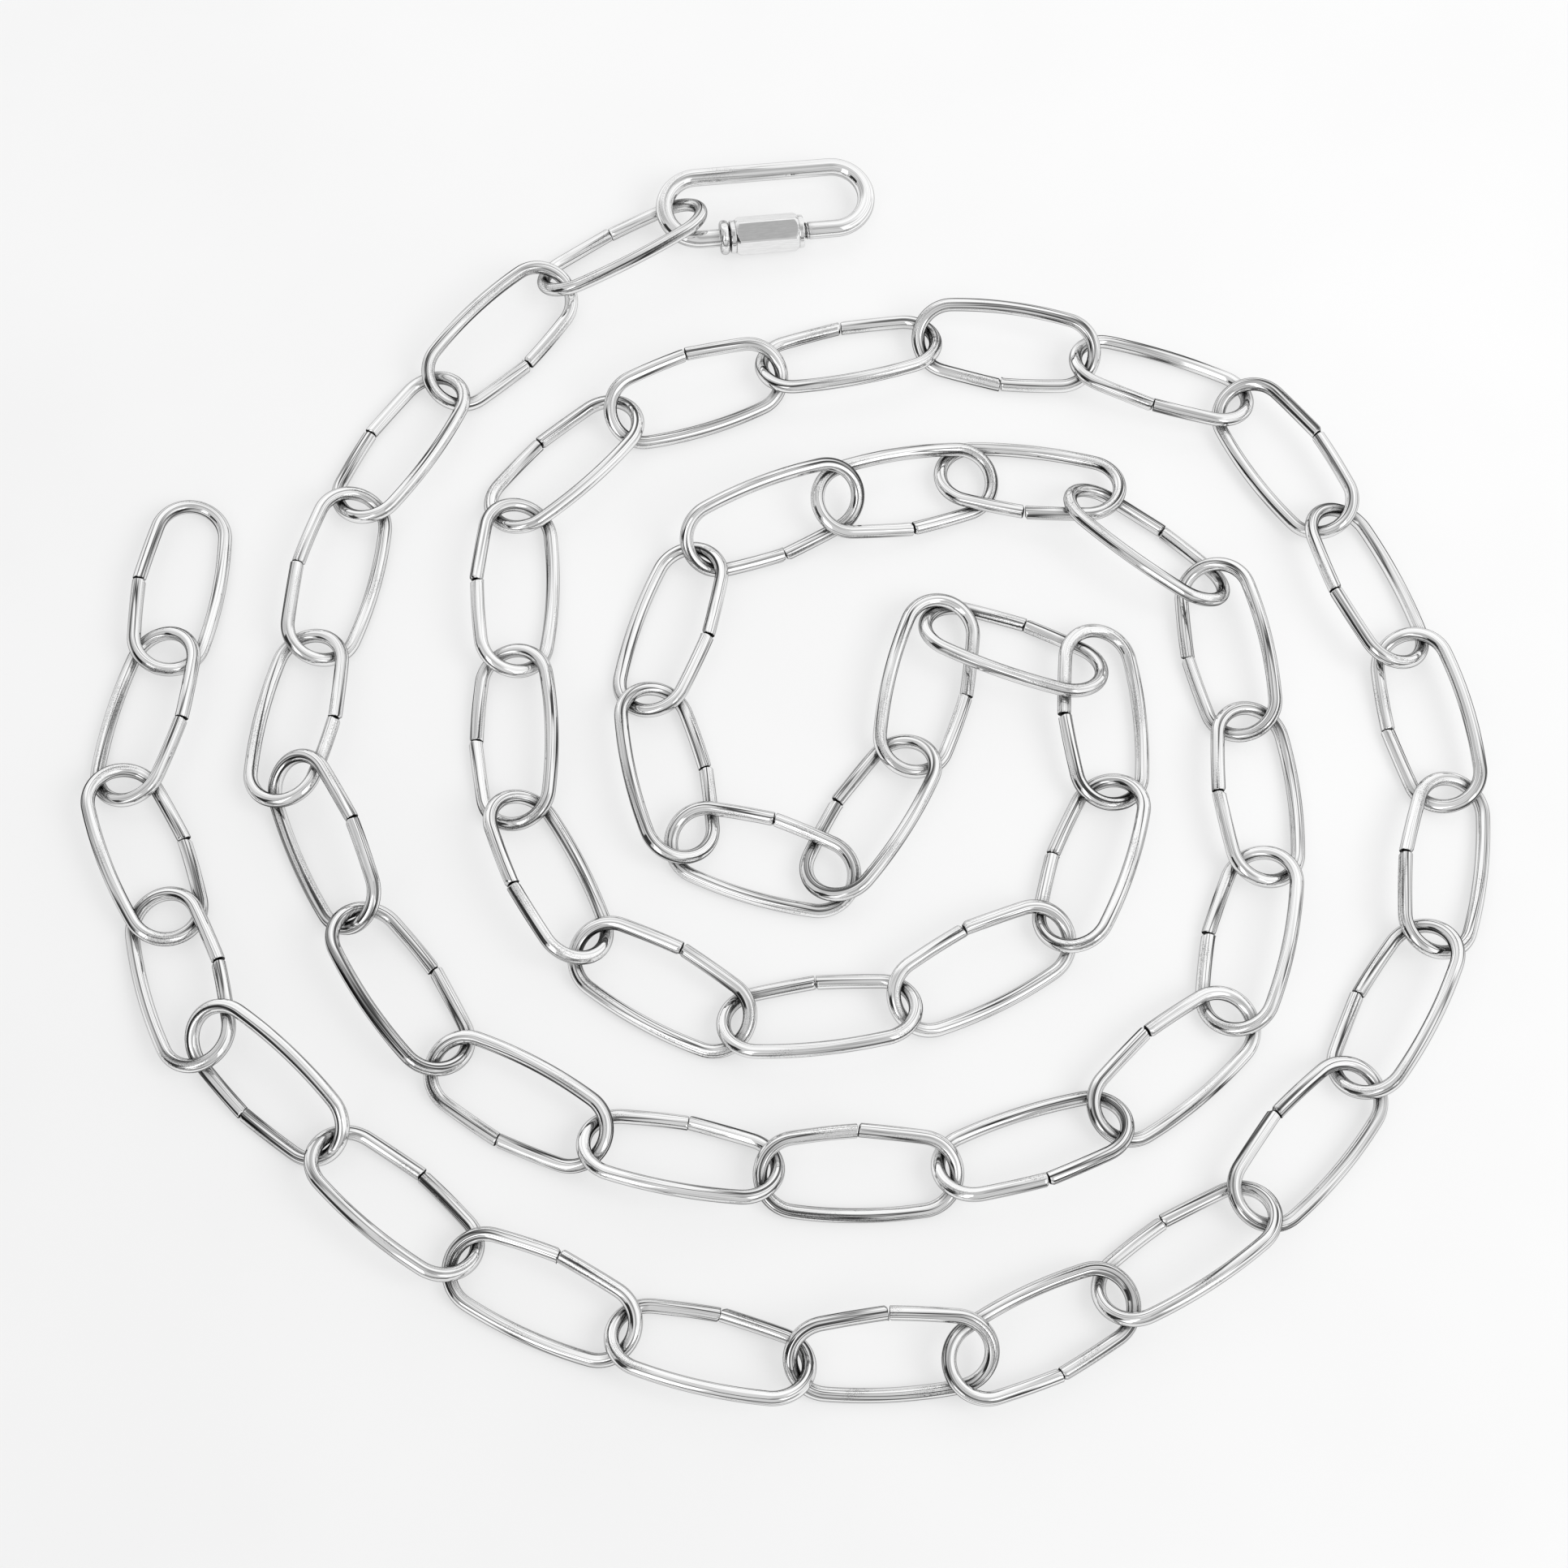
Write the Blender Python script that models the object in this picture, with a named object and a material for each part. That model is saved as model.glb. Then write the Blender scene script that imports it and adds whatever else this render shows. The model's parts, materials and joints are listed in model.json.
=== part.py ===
"""A length of oval-link steel chain laid flat in a double spiral, with a quick link on its first link.

Metres, +Z up. +X is to the right in the photograph and +Y is away from the camera. The level floor is
z = 0. Each link is bent wire whose two ends meet, unwelded, in the middle of one side. Where each link lies
is read from the photograph. How high it lies and how far it leans are worked out here: the links start above
the floor in their right over and under order, sink onto it and come to rest on each other.
"""
import math

import bmesh
import bpy
import numpy as np
from mathutils import Matrix, Vector

MM = 0.001

# Chain link
LINK_WIRE = 3.0 * MM
LINK_LENGTH = 43.5 * MM
LINK_WIDTH = 20.0 * MM
LINK_END_RADIUS = 7.6 * MM
SEAM_GAP = 0.4 * MM
SEAM_KINK = math.radians(9)
LINK_SIDES = 8
# Steps round each end, along the plain side and along each half of the seam side
LINK_STEPS = (5, 2, 1)
SETTLING_STEPS = (24, 12, 6)

# Quick link: an oval of thicker wire with a collar, closed by a long nut on a threaded leg
QUICK_WIRE = 4.0 * MM
QUICK_LENGTH = 51.4 * MM
QUICK_WIDTH = 20.0 * MM
QUICK_SIDES = 10
QUICK_STEPS = 6
COLLAR_WIDTH = 8.0 * MM
COLLAR_LENGTH = 2.0 * MM
STUB_LENGTH = 3.3 * MM
WIRE_GAP = 6.0 * MM

# Nut of the quick link
NUT_FLATS = 8.0 * MM
NUT_LENGTH = 17.2 * MM
NUT_TURNED = 1.3 * MM
NUT_TURNED_WIDTH = 7.7 * MM
NUT_CLEARANCE = 0.3 * MM
NUT_SIDES = 12
# How far the nut is off the middle of its leg, towards the collar
NUT_SHIFT = 0.7 * MM
# How far the flat on top of the nut leans towards the camera
NUT_LEAN = math.radians(20)

# The camera of the photograph: the picture's middle and the lens in picture pixels, how far the camera tips
# up from looking straight down, and its height above the floor
PICTURE_MIDDLE = 966
LENS_PIXELS = 3650
CAMERA_LEAN = math.radians(21.5)
CAMERA_HEIGHT = 600 * MM

# The two crowns of the quick link and of every link, in pixels of the photograph. The chain is followed
# from the quick link to its free end: the crown nearer the quick link comes first.
QUICK_CROWNS = ((1078, 238), (809, 260))
LINK_CROWNS = (
    ((867, 252), (667, 354)), ((699, 336), (534, 490)), ((560, 460), (428, 639)),
    ((446, 602), (384, 816)), ((394, 773), (338, 996)), ((352, 929), (446, 1142)),
    ((426, 1119), (563, 1317)), ((526, 1296), (750, 1415)), ((711, 1401), (967, 1447)),
    ((928, 1447), (1189, 1445)), ((1151, 1450), (1397, 1372)), ((1351, 1392), (1541, 1234)),
    ((1518, 1274), (1564, 1041)), ((1566, 1093), (1535, 863)), ((1539, 909), (1489, 689)),
    ((1510, 739), (1317, 601)), ((1389, 606), (1152, 578)), ((1231, 584), (998, 622)),
    ((1063, 594), (841, 677)), ((865, 669), (787, 881)), ((797, 840), (848, 1063)),
    ((821, 1023), (1060, 1092)), ((1007, 1106), (1140, 911)), ((1114, 952), (1169, 733)),
    ((1135, 757), (1365, 838)), ((1348, 769), (1372, 996)), ((1383, 951), (1311, 1173)),
    ((1321, 1137), (1098, 1248)), ((1136, 1237), (883, 1265)), ((926, 1274), (707, 1155)),
    ((730, 1186), (623, 973)), ((637, 1022), (633, 793)), ((632, 833), (641, 614)),
    ((608, 644), (782, 496)), ((745, 517), (970, 450)), ((932, 456), (1160, 414)),
    ((1124, 409), (1357, 440)), ((1317, 433), (1544, 501)), ((1516, 475), (1654, 653)),
    ((1631, 620), (1739, 822)), ((1728, 775), (1794, 997)), ((1794, 950), (1767, 1181)),
    ((1775, 1133), (1668, 1345)), ((1690, 1316), (1532, 1505)), ((1569, 1474), (1355, 1615)),
    ((1400, 1583), (1165, 1699)), ((1232, 1660), (965, 1677)), ((1006, 1694), (746, 1635)),
    ((790, 1651), (551, 1545)), ((585, 1564), (389, 1400)), ((418, 1416), (237, 1248)),
    ((256, 1318), (193, 1091)), ((219, 1160), (135, 945)), ((145, 992), (215, 771)),
    ((199, 832), (245, 615)),
)

# Links whose seam is on the left side, for someone who walks from the quick link to the free end
SEAM_ON_LEFT = (
    2, 5, 6, 7, 9, 10, 12, 13, 14, 15, 17, 18, 19, 20, 21, 22, 23, 25, 31, 32, 33, 34, 35, 36, 39, 46, 51,
    55,
)
# Down the chain the higher side changes at each link, from left to right and back. These links are twisted
# in it: their higher side is the left at one end and the right at the other.
TWISTED = (5, 17, 18, 26, 46, 52)
# Leans that the photograph shows, in degrees, left side up counted positive. The others follow from their
# neighbours. Body 0 is the quick link.
SEEN_LEANS = {
    0: -5, 1: 36, 11: -21, 12: 10, 16: 37, 23: -18, 24: 10, 31: 29, 35: 28, 37: 28, 38: -20, 39: 14,
    40: -24, 44: -7, 45: 21, 46: -9, 47: -31, 51: -32, 52: -9, 53: 8,
}

# Coming to rest: each body is a ring of balls, let down a little each round and pushed off what it meets
BALLS = 96
CONTACT_GAP = 0.30 * MM
START_HEIGHT = 10 * MM
START_LEAN = math.radians(35)
LEAN_ROUNDS = 300
SINK_ROUNDS = 420
FINISH_ROUNDS = 200
SINK_STEP = 0.12 * MM
HOLD_PLACE = 0.03
HOLD_LEAN = 0.15
SMALL_OVERLAP = 0.01 * MM

SHARP_ANGLE = math.radians(40)


def clear_scene():
    for thing in list(bpy.data.objects):
        bpy.data.objects.remove(thing, do_unlink=True)


def steel(name, colour, roughness):
    material = bpy.data.materials.new(name)
    material.use_nodes = True
    shader = material.node_tree.nodes["Principled BSDF"]
    shader.inputs["Base Color"].default_value = (*colour, 1)
    shader.inputs["Metallic"].default_value = 1
    shader.inputs["Roughness"].default_value = roughness
    material.diffuse_color = (*colour, 1)
    return material


def chain_steel():
    return steel("chain_steel", (0.80, 0.80, 0.79), 0.12)


def quick_link_steel():
    return steel("quick_link_steel", (0.78, 0.78, 0.77), 0.12)


def nut_steel():
    return steel("nut_steel", (0.74, 0.74, 0.73), 0.18)


def sight(pixel):
    """How far across and how far forward the ray through a pixel goes for each metre that it drops."""
    across = (pixel[0] - PICTURE_MIDDLE) / LENS_PIXELS
    up = (PICTURE_MIDDLE - pixel[1]) / LENS_PIXELS
    forward = math.sin(CAMERA_LEAN) + up * math.cos(CAMERA_LEAN)
    down = math.cos(CAMERA_LEAN) - up * math.sin(CAMERA_LEAN)
    return np.array((across, forward)) / down


def arc(centre, radius, start, end, steps):
    """Points of an arc, first and last included, set out so far that its chords straddle the true arc."""
    angles = np.linspace(start, end, steps + 1)
    reach = 2 * radius / (1 + math.cos((end - start) / steps / 2))
    return [(centre[0] + reach * math.cos(a), centre[1] + reach * math.sin(a)) for a in angles]


def link_path(end_steps, side_steps, half_steps):
    """Middle line of the wire of one link in its own plane, from one side of the seam round to the other.

    The link lies along X and its seam is on the +Y side. The ends are arcs, the plain side is a shallow
    arc, and each half of the seam side is a shallower arc that meets the other at a slight angle.
    """
    half_length = (LINK_LENGTH - LINK_WIRE) / 2
    half_width = (LINK_WIDTH - LINK_WIRE) / 2
    end_x = half_length - LINK_END_RADIUS
    bulge = half_width - LINK_END_RADIUS
    side_radius = (end_x ** 2 + half_width ** 2 - LINK_END_RADIUS ** 2) / (2 * bulge)
    spread = math.asin(end_x / (side_radius - LINK_END_RADIUS))
    upright = math.pi / 2
    right_end = arc((end_x, 0), LINK_END_RADIUS, upright - spread, spread - upright, end_steps)
    plain_middle = (0, side_radius - half_width)
    plain_side = arc(plain_middle, side_radius, spread - upright, -spread - upright, side_steps)
    corner_x, corner_y = right_end[0]
    half_radius = (corner_x - SEAM_GAP / 2) / (math.sin(spread) - math.sin(SEAM_KINK / 2))
    middle = (corner_x - half_radius * math.sin(spread), corner_y - half_radius * math.cos(spread))
    seam_half = arc(middle, half_radius, upright - SEAM_KINK / 2, upright - spread, half_steps)
    right = seam_half[:-1] + right_end
    left = [(-x, y) for x, y in reversed(right)]
    return np.array(right[:-1] + plain_side + left[1:])


def quick_stations():
    """Stations along the quick link's wire: x and y of the middle line and the radius there.

    The leg with the nut is on the +Y side. The wire starts at the stub in the nut's +X end, passes the
    collar, goes round both bends and ends with the thread in the nut's other end.
    """
    wire = QUICK_WIRE / 2
    leg = (QUICK_WIDTH - QUICK_WIRE) / 2
    bend_x = (QUICK_LENGTH - QUICK_WIRE) / 2 - leg
    collar_start = NUT_SHIFT + NUT_LENGTH / 2 + NUT_CLEARANCE
    collar_end = collar_start + COLLAR_LENGTH
    stub_end = collar_start - STUB_LENGTH
    quarter = math.pi / 2
    stations = [(stub_end, leg, wire), (collar_start, leg, wire), (collar_start, leg, COLLAR_WIDTH / 2)]
    stations += [(collar_end, leg, COLLAR_WIDTH / 2), (collar_end, leg, wire)]
    stations += [(x, y, wire) for x, y in arc((bend_x, 0), leg, quarter, -quarter, QUICK_STEPS)]
    stations += [(x, y, wire) for x, y in arc((-bend_x, 0), leg, -quarter, -3 * quarter, QUICK_STEPS)]
    stations.append((stub_end - WIRE_GAP, leg, wire))
    return np.array(stations)


def balls_round(line):
    """BALLS points at even steps round a closed line, the first on the +X axis, the next on the +Y side."""
    angles = np.arctan2(line[:, 1], line[:, 0]) % (2 * math.pi)
    line = line[np.argsort(angles)]
    crossing = line[-1] + (line[0] - line[-1]) * line[-1, 1] / (line[-1, 1] - line[0, 1])
    line = np.vstack((crossing, line, crossing))
    lengths = np.concatenate(((0,), np.cumsum(np.linalg.norm(np.diff(line, axis=0), axis=1))))
    even = np.arange(BALLS) * lengths[-1] / BALLS
    return np.column_stack((np.interp(even, lengths, line[:, 0]), np.interp(even, lengths, line[:, 1])))


def turned_about_z(angles):
    """Rotation matrices about Z, one for each angle."""
    turns = np.tile(np.eye(3), (len(angles), 1, 1))
    turns[:, 0, 0] = np.cos(angles)
    turns[:, 1, 1] = np.cos(angles)
    turns[:, 0, 1] = -np.sin(angles)
    turns[:, 1, 0] = np.sin(angles)
    return turns


def turned_about_x(angles):
    """Rotation matrices about X, one for each angle."""
    return np.roll(turned_about_z(angles), (1, 1), axis=(1, 2))


class Bodies:
    """The quick link and the links as stiff bodies, each a ring of balls along its wire."""

    def __init__(self, rings, radii, near, far, leans):
        self.count = len(rings)
        self.balls = np.zeros((self.count, BALLS, 3))
        self.balls[:, :, :2] = rings
        self.radii = radii
        squares = (self.balls ** 2).mean(axis=1)
        self.inertia = squares.sum(axis=1, keepdims=True) - squares
        self.near = near
        self.far = far
        self.reach = self.balls[:, 0, 0] + radii[:, 0]
        self.leaning = np.array(list(SEEN_LEANS))
        self.leans = np.radians(list(SEEN_LEANS.values()))
        middles = (near + far) / 2 * (CAMERA_HEIGHT - START_HEIGHT)
        self.centres = np.column_stack((middles, np.full(self.count, START_HEIGHT)))
        way = far - near
        rolls = [np.array(Matrix.Rotation(lean, 3, "X")) for lean in leans]
        self.turns = turned_about_z(np.arctan2(way[:, 1], way[:, 0])) @ np.array(rolls)

    def world(self, which, part):
        """Places of some of the balls of some of the bodies."""
        return self.centres[which, None] + self.balls[which][:, part] @ self.turns[which].transpose(0, 2, 1)

    def torque(self, which, arms, pushes):
        return np.einsum("bji,bj->bi", self.turns[which], np.cross(arms, pushes))

    def give(self, which, arms, normals):
        """How readily each body yields to a push along a normal at an arm from its centre."""
        return 1 + (self.torque(which, arms, normals) ** 2 / self.inertia[which]).sum(axis=1)

    def shift(self, which, arms, pushes):
        """Move and turn bodies by pushes that act at arms from their centres."""
        x, y, z = (self.torque(which, arms, pushes) / self.inertia[which]).T
        zero = np.zeros_like(x)
        spin = np.array(((zero, -z, y), (z, zero, -x), (-y, x, zero))).transpose(2, 0, 1)
        left, _, right = np.linalg.svd(self.turns[which] @ (np.eye(3) + spin))
        self.turns[which] = left @ right
        self.centres[which] += pushes

    def part_neighbours(self, first, leaving, entering):
        """Push bodies first and first + 1 apart where their wires are too near. Returns the worst overlap."""
        second = first + 1
        ours = self.world(first, leaving)
        theirs = self.world(second, entering)
        offsets = theirs[:, None] - ours[:, :, None]
        distances = np.sqrt(np.einsum("bijk,bijk->bij", offsets, offsets))
        reach = self.radii[first][:, leaving][:, :, None] + self.radii[second][:, entering][:, None]
        overlap = reach + CONTACT_GAP - distances
        a, b = np.unravel_index(overlap.reshape(len(first), -1).argmax(axis=1), overlap.shape[1:])
        row = np.arange(len(first))
        depth = np.maximum(overlap[row, a, b], 0)
        normals = offsets[row, a, b] / distances[row, a, b][:, None]
        arms = ours[row, a] - self.centres[first]
        other_arms = theirs[row, b] - self.centres[second]
        share = depth / (self.give(first, arms, normals) + self.give(second, other_arms, normals))
        self.shift(first, arms, -normals * share[:, None])
        self.shift(second, other_arms, normals * share[:, None])
        return float(depth.max())

    def lift_off_floor(self, part):
        """Push each body up where one of these balls is in the floor. Returns the deepest."""
        every = np.arange(self.count)
        points = self.world(every, part)
        under = self.radii[:, part] - points[:, :, 2]
        lowest = under.argmax(axis=1)
        depth = np.maximum(under[every, lowest], 0)
        arms = points[every, lowest] - self.centres
        up = np.tile((0.0, 0.0, 1.0), (self.count, 1))
        share = depth / self.give(every, arms, up)
        self.shift(every, arms, up * share[:, None])
        return float(depth.max())

    def hold_places(self):
        """Draw each body back to where the photograph shows its two crowns, and to the lean seen in it."""
        drop = CAMERA_HEIGHT - self.centres[:, 2:]
        rise = (self.reach * self.turns[:, 2, 0])[:, None]
        near = self.near * (drop + rise)
        far = self.far * (drop - rise)
        self.centres[:, :2] += HOLD_PLACE * ((near + far) / 2 - self.centres[:, :2])
        way = far - near
        error = np.arctan2(way[:, 1], way[:, 0]) - np.arctan2(self.turns[:, 1, 0], self.turns[:, 0, 0])
        error = (error + math.pi) % (2 * math.pi) - math.pi
        self.turns = turned_about_z(HOLD_PLACE * error) @ self.turns
        missing = self.leans - np.arcsin(self.turns[self.leaning, 2, 1])
        self.turns[self.leaning] = self.turns[self.leaning] @ turned_about_x(HOLD_LEAN * missing)

    def come_to_rest(self):
        """Let the bodies sink onto the floor and each other, then clear what still touches."""
        quarters = np.array_split(np.arange(BALLS), 4)
        pairs = [(out, into) for out in (quarters[0], quarters[3]) for into in (quarters[1], quarters[2])]
        evens = np.arange(0, self.count - 1, 2)
        odds = np.arange(1, self.count - 1, 2)
        for turn in range(SINK_ROUNDS + FINISH_ROUNDS):
            sinking = turn < SINK_ROUNDS
            if sinking:
                self.centres[:, 2] -= SINK_STEP * (1 - turn / SINK_ROUNDS)
                self.hold_places()
            worst = max(self.part_neighbours(joints, *pair) for joints in (evens, odds) for pair in pairs)
            worst = max([worst] + [self.lift_off_floor(quarter) for quarter in quarters])
            if not sinking and worst < SMALL_OVERLAP:
                break
        return worst


def higher_on_left(number):
    """Whether a body has its left side over the next body where the two cross."""
    flips = sum(1 for twisted in TWISTED if twisted <= number)
    return (number + flips) % 2 == 1


def first_leans(count):
    """Least lean of each body that gives every crossing its over and under order, left side up positive."""
    signs = [1 if higher_on_left(number) else -1 for number in range(count - 1)]
    leans = np.zeros(count)
    for _ in range(LEAN_ROUNDS):
        for number, sign in enumerate(signs):
            missing = START_LEAN - sign * (leans[number] - leans[number + 1])
            if missing > 0:
                leans[number] += sign * missing / 2
                leans[number + 1] -= sign * missing / 2
    return leans


def quick_ring():
    """Balls along the quick link's wire and their radii, larger along the nut and collar."""
    ring = balls_round(quick_stations()[:, :2])
    leg = (QUICK_WIDTH - QUICK_WIRE) / 2
    off_nut = np.abs(ring[:, 0] - NUT_SHIFT)
    by_nut = (off_nut < NUT_LENGTH / 2 + COLLAR_LENGTH) & (ring[:, 1] > leg - SMALL_OVERLAP)
    nut_corner = NUT_FLATS / 2 / math.cos(math.pi / 6)
    return ring, np.where(by_nut, nut_corner, QUICK_WIRE / 2)


def lay_chain():
    """The quick link and the links, come to rest as the photograph shows them."""
    line = link_path(*SETTLING_STEPS)
    seam_left = balls_round(line)
    seam_right = balls_round(line * np.array((1, -1)))
    first_ring, first_radii = quick_ring()
    rings = [first_ring]
    radii = [first_radii]
    for number in range(1, len(LINK_CROWNS) + 1):
        rings.append(seam_left if number in SEAM_ON_LEFT else seam_right)
        radii.append(np.full(BALLS, LINK_WIRE / 2))
    near = np.array([sight(pair[0]) for pair in (QUICK_CROWNS, *LINK_CROWNS)])
    far = np.array([sight(pair[1]) for pair in (QUICK_CROWNS, *LINK_CROWNS)])
    bodies = Bodies(np.array(rings), np.array(radii), near, far, first_leans(len(rings)))
    bodies.come_to_rest()
    return bodies


def ring_corners(centre, tangent, radius, stretch, sides):
    """Corners of a tube's section: a polygon with its corners on the wire's surface, mitred at bends."""
    across = np.array((-tangent[1], tangent[0], 0)) * stretch
    up = np.array((0, 0, 1))
    turns = [math.tau * (step + 0.5) / sides for step in range(sides)]
    return [centre + radius * (math.cos(turn) * across + math.sin(turn) * up) for turn in turns]


def tube_mesh(name, points, radii, sides):
    """A closed tube along an open line in the XY plane, with flat ends."""
    line = np.column_stack((points, np.zeros(len(points))))
    shape = bmesh.new()
    rings = []
    for number, (centre, radius) in enumerate(zip(line, radii)):
        before = line[number] - line[max(number - 1, 0)]
        after = line[min(number + 1, len(line) - 1)] - line[number]
        before = before if np.linalg.norm(before) > 0 else after
        after = after if np.linalg.norm(after) > 0 else before
        before = before / np.linalg.norm(before)
        after = after / np.linalg.norm(after)
        tangent = (before + after) / np.linalg.norm(before + after)
        stretch = 1 / float(np.dot(tangent, before))
        corners = ring_corners(centre, tangent, radius, stretch, sides)
        rings.append([shape.verts.new(corner) for corner in corners])
    close_rings(shape, rings)
    shape.faces.new(reversed(rings[0]))
    shape.faces.new(rings[-1])
    return finished_mesh(name, shape)


def close_rings(shape, rings):
    """Quads between each ring of vertices and the next."""
    for ring, following in zip(rings[:-1], rings[1:]):
        for corner in range(len(ring)):
            beside = (corner + 1) % len(ring)
            shape.faces.new((ring[corner], ring[beside], following[beside], following[corner]))


def finished_mesh(name, shape):
    bmesh.ops.recalc_face_normals(shape, faces=shape.faces)
    mesh = bpy.data.meshes.new(name)
    shape.to_mesh(mesh)
    shape.free()
    mesh.shade_smooth()
    mesh.set_sharp_from_angle(angle=SHARP_ANGLE)
    return mesh


def link_mesh():
    points = link_path(*LINK_STEPS)
    mesh = tube_mesh("link", points, np.full(len(points), LINK_WIRE / 2), LINK_SIDES)
    mesh.materials.append(chain_steel())
    return mesh


def quick_link_mesh():
    stations = quick_stations()
    mesh = tube_mesh("quick_link_body", stations[:, :2], stations[:, 2], QUICK_SIDES)
    mesh.materials.append(quick_link_steel())
    return mesh


def nut_ring(x, flats, turned):
    """Section of the nut in the YZ plane: a hexagon with a point in the middle of each flat, or a round."""
    corners = []
    for step in range(NUT_SIDES):
        angle = math.tau * step / NUT_SIDES
        reach = flats / 2 if turned or step % 2 == 0 else flats / 2 / math.cos(math.pi / 6)
        corners.append((x, reach * math.sin(angle), reach * math.cos(angle)))
    return corners


def nut_mesh():
    """The nut, its bore along X and one of its flats facing +Z."""
    end = NUT_LENGTH / 2
    shoulder = end - NUT_TURNED
    bore = (QUICK_WIRE + 2 * NUT_CLEARANCE) / math.cos(math.pi / NUT_SIDES)
    sections = [(end, NUT_TURNED_WIDTH, True), (shoulder, NUT_TURNED_WIDTH, True)]
    sections.append((shoulder, NUT_FLATS, False))
    sections += [(-x, width, turned) for x, width, turned in reversed(sections)]
    sections += [(-end, bore, True), (end, bore, True)]
    shape = bmesh.new()
    rings = [[shape.verts.new(corner) for corner in nut_ring(*section)] for section in sections]
    close_rings(shape, rings + [rings[0]])
    mesh = finished_mesh("quick_link_nut", shape)
    mesh.materials.append(nut_steel())
    return mesh


def placed(name, mesh, matrix, parent):
    thing = bpy.data.objects.new(name, mesh)
    bpy.context.scene.collection.objects.link(thing)
    thing.parent = parent
    thing.matrix_basis = matrix
    return thing


def lowest_middle(things):
    """Middle of the things' box in X and Y, and its lowest Z."""
    corners = []
    for thing in things:
        corners += [thing.matrix_basis @ vertex.co for vertex in thing.data.vertices]
    corners = np.array(corners)
    low = corners.min(axis=0)
    high = corners.max(axis=0)
    return Vector(((low[0] + high[0]) / 2, (low[1] + high[1]) / 2, low[2]))


def nut_place(body):
    """Place of the nut: on its leg, with one flat on top that leans towards the camera."""
    leg = (QUICK_WIDTH - QUICK_WIRE) / 2
    along = body.col[0].xyz.normalized()
    across = Vector((0, 0, 1)).cross(along).normalized()
    turn = Matrix((along, across, along.cross(across))).transposed().to_4x4()
    middle = body @ Vector((NUT_SHIFT, leg, 0))
    return Matrix.Translation(middle) @ turn @ Matrix.Rotation(-NUT_LEAN, 4, "X")


def build():
    clear_scene()
    bodies = lay_chain()
    chain = bpy.data.objects.new("chain", None)
    bpy.context.scene.collection.objects.link(chain)
    link = link_mesh()
    half_turn = Matrix.Rotation(math.pi, 4, "X")
    places = []
    for centre, turn in zip(bodies.centres, bodies.turns):
        places.append(Matrix.LocRotScale(Vector(centre), Matrix(turn), None))
    things = [placed("quick_link_body", quick_link_mesh(), places[0], chain)]
    things.append(placed("quick_link_nut", nut_mesh(), nut_place(places[0]), chain))
    for number, place in enumerate(places[1:], start=1):
        place = place if number in SEAM_ON_LEFT else place @ half_turn
        things.append(placed(f"link_{number:02d}", link, place, chain))
    origin = lowest_middle(things)
    for thing in things:
        thing.location -= origin


build()
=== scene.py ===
"""The looks of a length of bright steel chain with a quick link, laid in a double spiral.

Every link of the frame is replaced by finely modelled bent wire with its own seam, and the quick link by a
body with a rounded collar and a thread, and by a nut with turned ends. Lengths are in metres. A wire is
shaped in its link's own plane: the link lies along X, its seam is on the +Y side and Z is its normal. Each
wire also carries its straightened shape, so that the drawing lines of its material follow it round the bends.
"""
import json
import math

import bmesh
import bpy
import numpy as np
from mathutils import Matrix, Vector


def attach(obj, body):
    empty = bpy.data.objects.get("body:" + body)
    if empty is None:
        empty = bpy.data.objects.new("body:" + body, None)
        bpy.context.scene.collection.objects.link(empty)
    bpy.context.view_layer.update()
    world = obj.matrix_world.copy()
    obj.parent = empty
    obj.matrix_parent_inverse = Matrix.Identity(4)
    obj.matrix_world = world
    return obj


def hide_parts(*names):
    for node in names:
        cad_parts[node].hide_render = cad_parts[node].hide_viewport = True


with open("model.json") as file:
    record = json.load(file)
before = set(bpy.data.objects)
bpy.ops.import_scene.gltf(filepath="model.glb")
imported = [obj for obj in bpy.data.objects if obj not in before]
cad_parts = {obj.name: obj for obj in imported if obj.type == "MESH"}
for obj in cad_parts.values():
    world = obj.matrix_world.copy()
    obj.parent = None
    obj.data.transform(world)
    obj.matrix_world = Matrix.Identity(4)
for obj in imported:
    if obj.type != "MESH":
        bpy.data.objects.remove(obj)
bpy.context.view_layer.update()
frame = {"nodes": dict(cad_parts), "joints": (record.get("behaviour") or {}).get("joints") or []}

MM = 0.001
SEED = 11
# Lengths below this count as none, and corners that agree to this many digits are one place
SAME_PLACE = 1e-9
SAME_PLACE_DIGITS = 7

# Chain link, as in the frame
LINK_COUNT = 55
LINK_WIRE = 3.0 * MM
LINK_LENGTH = 43.5 * MM
LINK_WIDTH = 20.0 * MM
LINK_END_RADIUS = 7.6 * MM
SEAM_GAP = 0.4 * MM
SEAM_KINK = math.radians(9)
# Corners this near to a link's farthest one along it are its crowns
CROWN_DEPTH = LINK_WIRE / 10

# Steps of a link's mesh: round the wire, round an end, along the plain side and along half of the seam side
LINK_SIDES = 36
END_STEPS = 34
PLAIN_SIDE_STEPS = 20
SEAM_SIDE_STEPS = 14

# Cut ends of a link's wire: the distances of close rings from a cut, its bulged face, its rounded edge, the
# bevel where it was nipped, the small ear that was pushed up, and how far the raw face reaches. Each end
# takes its own numbers from the pairs, which are ranges: lengths in millimetres, turns in radians round the
# wire, depths and heights as shares of its thickness.
CUT_RINGS = np.array((1.2, 0.8, 0.55, 0.4, 0.28, 0.18, 0.1, 0.04, 0.0)) * MM
CUT_ZONE = CUT_RINGS[0] * 1.1
CUT_BULGE = 0.05 * MM
CUT_FACE_SHARE = 0.55
CUT_EDGE_DEPTH = 0.06
CUT_EDGE_LENGTH = 0.12 * MM
BEVEL_TURNS = (-0.5, 0.5)
BEVEL_LENGTHS = (0.3, 0.7)
BEVEL_DEPTHS = (0.2, 0.45)
BEVEL_FALLOFF = 1.5
EAR_TURNS = (-0.9, 0.9)
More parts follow.
